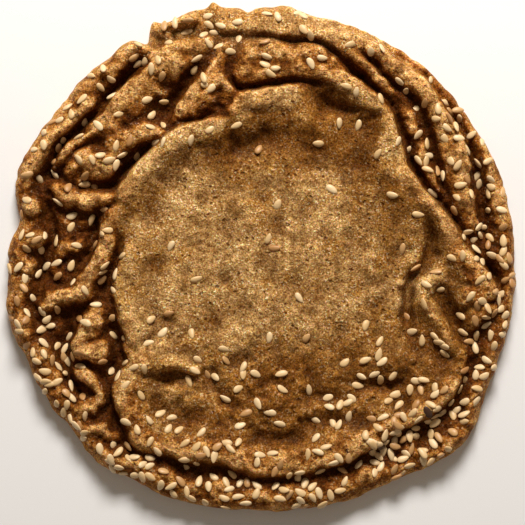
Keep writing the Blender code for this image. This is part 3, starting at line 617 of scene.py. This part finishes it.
def seed_piece(name, places, surface, material, rng):
    """All the seeds of one kind, as one mesh."""
    base, faces = seed_base()
    points, loops, tones, along = [], [], [], []
    for x, y, turn, lift in places:
        form = seed_shape(base, rng)
        lie = ground(surface, x, y)
        if lie is None:
            continue
        normal = (lie[1] + Vector(rng.normal(0, 0.16, 3))).normalized()
        place = lie[0] + (normal * rng.uniform(0.0, 0.25) + Vector((0, 0, lift))) * MM
        matrix = Vector((0, 0, 1)).rotation_difference(normal).to_matrix() @ Matrix.Rotation(turn, 3, "Z")
        form = form @ np.array(matrix).T * MM + np.array(place)
        form[:, 2] -= max(form[:, 2].max() - HIGHEST.z - SEED_PROUD * MM, 0)
        loops += [[index + len(points) * len(base) for index in face] for face in faces]
        points.append(form)
        tones += [rng.uniform(0, 1)] * len(base)
        along += list(base[:, 0])
    mesh = bpy.data.meshes.new(name)
    mesh.from_pydata(np.vstack(points).tolist(), [], loops)
    add_attribute(mesh, "tone", tones)
    add_attribute(mesh, "along", along)
    mesh.materials.append(material)
    mesh.shade_smooth()
    piece = bpy.data.objects.new(name, mesh)
    bpy.context.scene.collection.objects.link(piece)
    return piece


def add_attribute(mesh, name, values):
    """Give each point of a mesh a number."""
    layer = mesh.attributes.new(name, "FLOAT", "POINT")
    layer.data.foreach_set("value", np.asarray(values, dtype=np.float32))


# --- materials ---
class Nodes:
    """A short way to write a node tree."""

    def __init__(self, name):
        self.material = bpy.data.materials.new(name)
        self.material.use_nodes = True
        self.tree = self.material.node_tree
        self.shader = self.tree.nodes["Principled BSDF"]

    def add(self, kind, inputs=(), **settings):
        node = self.tree.nodes.new(kind)
        for key, value in settings.items():
            setattr(node, key, value)
        for key, value in dict(inputs).items():
            self.set(node, key, value)
        return node

    def set(self, node, key, value):
        if isinstance(value, bpy.types.NodeSocket):
            self.tree.links.new(value, node.inputs[key])
        else:
            node.inputs[key].default_value = value

    def math(self, operation, a, b=0.0, clamp=False):
        return self.add("ShaderNodeMath", {0: a, 1: b}, operation=operation, use_clamp=clamp).outputs[0]

    def times(self, a, b):
        return self.math("MULTIPLY", a, b)

    def plus(self, a, b, clamp=False):
        return self.math("ADD", a, b, clamp)

    def scaled(self, vector, scale):
        return self.add("ShaderNodeVectorMath", {0: vector, 3: scale}, operation="SCALE").outputs[0]

    def mix(self, share, a, b, blend="MIX"):
        node = self.add("ShaderNodeMix", {0: share, 6: a, 7: b}, data_type="RGBA", blend_type=blend)
        return node.outputs[2]

    def tinted(self, colour, tint):
        return self.mix(1.0, colour, tint, "MULTIPLY")

    def span(self, value, low, high, to_low=0.0, to_high=1.0):
        inputs = {0: value, 1: low, 2: high, 3: to_low, 4: to_high}
        return self.add("ShaderNodeMapRange", inputs, clamp=True).outputs[0]

    def noise(self, vector, scale, detail=2.0, rough=0.5, output="Fac"):
        inputs = {"Vector": vector, "Scale": scale, "Detail": detail, "Roughness": rough}
        return self.add("ShaderNodeTexNoise", inputs).outputs[output]

    def cells(self, vector, scale, feature="F1"):
        inputs = {"Vector": vector, "Scale": scale}
        return self.add("ShaderNodeTexVoronoi", inputs, feature=feature).outputs["Distance"]

    def ramp(self, value, stops):
        """A colour that goes with a value, from a list of values and colours."""
        low, high = stops[0][0], stops[-1][0]
        node = self.add("ShaderNodeValToRGB", {0: self.span(value, low, high)})
        while len(node.color_ramp.elements) < len(stops):
            node.color_ramp.elements.new(0.5)
        for element, (at, colour) in zip(node.color_ramp.elements, stops):
            element.position = (at - low) / (high - low)
            element.color = rgba(colour)
        return node.outputs[0]

    def attribute(self, name):
        return self.add("ShaderNodeAttribute", attribute_name=name).outputs["Fac"]

    def bump(self, height, distance, strength=1.0, under=None):
        inputs = {"Height": height, "Distance": distance, "Strength": strength}
        if under:
            inputs["Normal"] = under
        return self.add("ShaderNodeBump", inputs).outputs[0]

    def place(self):
        """The place on the object, in millimetres of the form."""
        return self.scaled(self.add("ShaderNodeTexCoord").outputs["Object"], 1 / MM)


def rgba(colour):
    return (*colour, 1.0)


def crust_material():
    """Golden middle and browned folds, with crumbs, pale lacy crumb walls, holes and pores darkened with
    painted shade, valleys in painted shade as well as browner crust, a painted shadow under the far lip,
    painted light on the far side and painted glints.
    """
    n = Nodes("cookie_crust")
    place = n.place()
    fold, relief = n.attribute("fold"), n.attribute("relief")

    blotch = n.noise(place, 0.11, 4.0, 0.6)
    patch = n.noise(place, 0.3, 3.0, 0.6)
    crumbs = n.noise(place, 1.0, 3.0, 0.65)
    grains = n.noise(place, 1.9, 1.0, 0.5)
    specks = n.noise(place, 2.6, 1.0, 0.5)
    uneven = n.plus(blotch, patch)
    wander = n.scaled(n.noise(place, 0.9, 1.0, output="Color"), 1.1)
    astray = n.add("ShaderNodeVectorMath", {0: place, 1: wander}, operation="ADD").outputs[0]
    walls = n.span(n.cells(astray, 0.95, "DISTANCE_TO_EDGE"), 0.03, 0.13, 1.0, 0.0)
    lace = n.times(walls, n.span(grains, 0.46, 0.56))
    holes = n.span(n.cells(astray, 0.95), 0.08, 0.26, 1.0, 0.0)
    pores = n.span(n.cells(astray, 0.5), 0.08, 0.24, 1.0, 0.0)
    pores = n.times(pores, n.span(patch, 0.38, 0.48))

    toast_and_lip_shadow = n.plus(n.attribute("toast_and_lip_shadow"), n.span(uneven, 0.75, 1.25, -0.6, 0.6))
    golden = n.ramp(toast_and_lip_shadow, MIDDLE_RAMP)
    # Fold colour by relief: browner crust, with painted shade in the valleys
    browned_and_shaded = n.ramp(n.plus(relief, n.span(uneven, 0.75, 1.25, -0.35, 0.35)), FOLD_RAMP)
    colour = n.mix(n.span(n.plus(fold, n.times(crumbs, 0.4)), 0.4, 1.0), golden, browned_and_shaded)
    # Painted shade: darker in hollows, paler on crests
    colour = n.tinted(colour, n.ramp(relief, RELIEF_SHADE_TINTS))
    colour = n.tinted(colour, n.ramp(crumbs, CRUMB_TINTS))
    colour = n.tinted(colour, n.ramp(patch, PATCH_TINTS))
    colour = n.tinted(colour, n.ramp(specks, SPECK_TINTS))
    # Holes darkened with painted shade, more where the crust is toasted
    colour = n.mix(n.times(holes, n.span(toast_and_lip_shadow, 0.3, 0.9, 0.3, 0.75)), colour, rgba(PAINTED_PORE_SHADE))

    # Patches where pale lace and painted glints gather, fewer of them in valleys
    lace_and_glint_patches = n.times(n.span(patch, 0.42, 0.6, 0.1, 1.0), n.span(relief, -0.9, 0.2, 0.25, 1.0))
    lacy = n.times(lace, n.plus(lace_and_glint_patches, n.span(fold, 0.2, 0.8, 0.4, 0.1), clamp=True))
    lacy = n.times(lacy, n.span(toast_and_lip_shadow, 0.3, 1.0, 1.0, 0.3))
    pale = n.mix(0.35, n.tinted(colour, rgba(LACE_TINT)), rgba(LACE_TONE))
    colour = n.mix(n.times(lacy, 0.7), colour, pale)
    # Pores darkened with painted shade
    colour = n.mix(n.times(pores, 0.85), colour, rgba(PAINTED_PORE_SHADE))
    # Painted glints: pale specks standing in for the lamp's highlights, fewer in valleys and on toasted
    # places
    painted_glints = n.span(n.plus(grains, n.times(lace_and_glint_patches, 0.16)), 0.72, 0.79, 0.0, 0.9)
    painted_glints = n.times(painted_glints, n.span(relief, -1.0, 0.0, 0.3, 1.0))
    painted_glints = n.times(painted_glints, n.span(toast_and_lip_shadow, 0.3, 1.0, 1.0, 0.4))
    painted_glint_colour = n.mix(0.5, n.tinted(colour, rgba(PAINTED_GLINT_TINT)), rgba(PAINTED_GLINT_TONE))
    colour = n.mix(painted_glints, colour, painted_glint_colour)

    n.set(n.shader, "Base Color", colour)
    n.set(n.shader, "Roughness", n.span(painted_glints, 0.0, 0.5, 0.5, 0.28))
    n.set(n.shader, "Specular IOR Level", 0.03)
    rough = n.bump(n.times(crumbs, n.span(fold, 0.0, 1.0, 0.3, 0.9)), 0.8 * MM, 1.0)
    rough = n.bump(n.plus(lacy, painted_glints), 0.08 * MM, 1.0, rough)
    rough = n.bump(n.times(pores, -1.0), 0.35 * MM, 1.0, rough)
    n.set(n.shader, "Normal", rough)
    n.set(n.shader, "Subsurface Weight", 0.45)
    n.set(n.shader, "Subsurface Radius", (1.8, 0.5, 0.1))
    n.set(n.shader, "Subsurface Scale", MM)
    return n.material


def seed_material(name, pale, dark):
    """A seed's skin: each of its own tone, darker at the tip and in faint blotches."""
    n = Nodes(name)
    place = n.place()
    colour = n.mix(n.attribute("tone"), rgba(pale), rgba(dark))
    colour = n.mix(n.span(n.attribute("along"), 0.3, 0.5, 0.0, 0.5), colour, rgba(dark))
    skin = n.noise(place, 1.2, 2.0, 0.6)
    colour = n.mix(n.span(skin, 0.35, 0.7, 0.0, 0.35), colour, rgba(dark))
    n.set(n.shader, "Base Color", colour)
    n.set(n.shader, "Roughness", 0.42)
    n.set(n.shader, "Normal", n.bump(n.noise(place, 2.5, 2.0, 0.6), 0.1 * MM, 0.5))
    return n.material


# --- pieces, floor, light and camera ---
def add_crust():
    """The crust, which stands for the whole solid."""
    crust = bpy.data.objects.new("crust", crust_mesh())
    crust.data.materials.append(crust_material())
    bpy.context.scene.collection.objects.link(crust)
    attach(crust, "root")
    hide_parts("cookie")
    return crust


def add_seeds(crust):
    """Share all the seeds out among the kinds, and make a piece of each kind."""
    surface = BVHTree.FromObject(crust, bpy.context.evaluated_depsgraph_get())
    rng = np.random.default_rng(33)
    places = [(*spot, 0.0) for spot in scatter(seed_density, SEED_SPACING, 20)]
    places += [(*spot, PILE_LIFT) for spot in scatter(piled_on_top, PILE_SPACING, 21)]
    draw = rng.uniform(0, 1, len(places))
    start = 0.0
    for name, (share, pale, dark) in SEED_KINDS.items():
        chosen = [place for place, chance in zip(places, draw) if start <= chance < start + share]
        start += share
        piece = seed_piece(name, chosen, surface, seed_material(name, pale, dark), rng)
        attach(piece, "root")


def add_floor():
    """A plain pale floor, just under the cookie."""
    bpy.ops.mesh.primitive_plane_add(size=FLOOR_SIZE, location=(0, 0, LOWEST.z - FLOOR_GAP * MM))
    floor = bpy.context.object
    floor.name = "floor"
    n = Nodes("floor")
    n.set(n.shader, "Base Color", (0.9, 0.9, 0.9, 1))
    n.set(n.shader, "Roughness", 0.9)
    floor.data.materials.append(n.material)


def add_light():
    """One soft lamp from the far side, and a dim warm world."""
    lamp = bpy.data.lights.new("key", "AREA")
    lamp.shape = "RECTANGLE"
    lamp.size, lamp.size_y = KEY_SIZE
    lamp.energy = KEY_WATTS
    lamp.color = KEY_TONE
    key = bpy.data.objects.new("key", lamp)
    elevation = math.radians(KEY_ELEVATION)
    key.location = Vector((KEY_EAST, math.cos(elevation), math.sin(elevation))) * KEY_DISTANCE
    key.rotation_euler = (-key.location).to_track_quat("-Z", "Y").to_euler()
    bpy.context.scene.collection.objects.link(key)
    world = bpy.data.worlds.new("studio")
    bpy.context.scene.world = world
    world.use_nodes = True
    sky = world.node_tree.nodes["Background"]
    sky.inputs["Color"].default_value = rgba(WORLD_TONE)
    sky.inputs["Strength"].default_value = WORLD_STRENGTH


def add_camera():
    """Straight above the cookie, looking down."""
    data = bpy.data.cameras.new("camera")
    data.lens = LENS
    camera = bpy.data.objects.new("camera", data)
    up = Vector((0, 0, data.lens / data.sensor_width * VIEW_WIDTH * MM))
    camera.location = ORIGIN + Vector(VIEW_CENTRE) * MM + up
    bpy.context.scene.collection.objects.link(camera)
    bpy.context.scene.camera = camera
    bpy.context.scene.view_settings.view_transform = "Standard"


add_camera()
add_light()
add_floor()
add_seeds(add_crust())
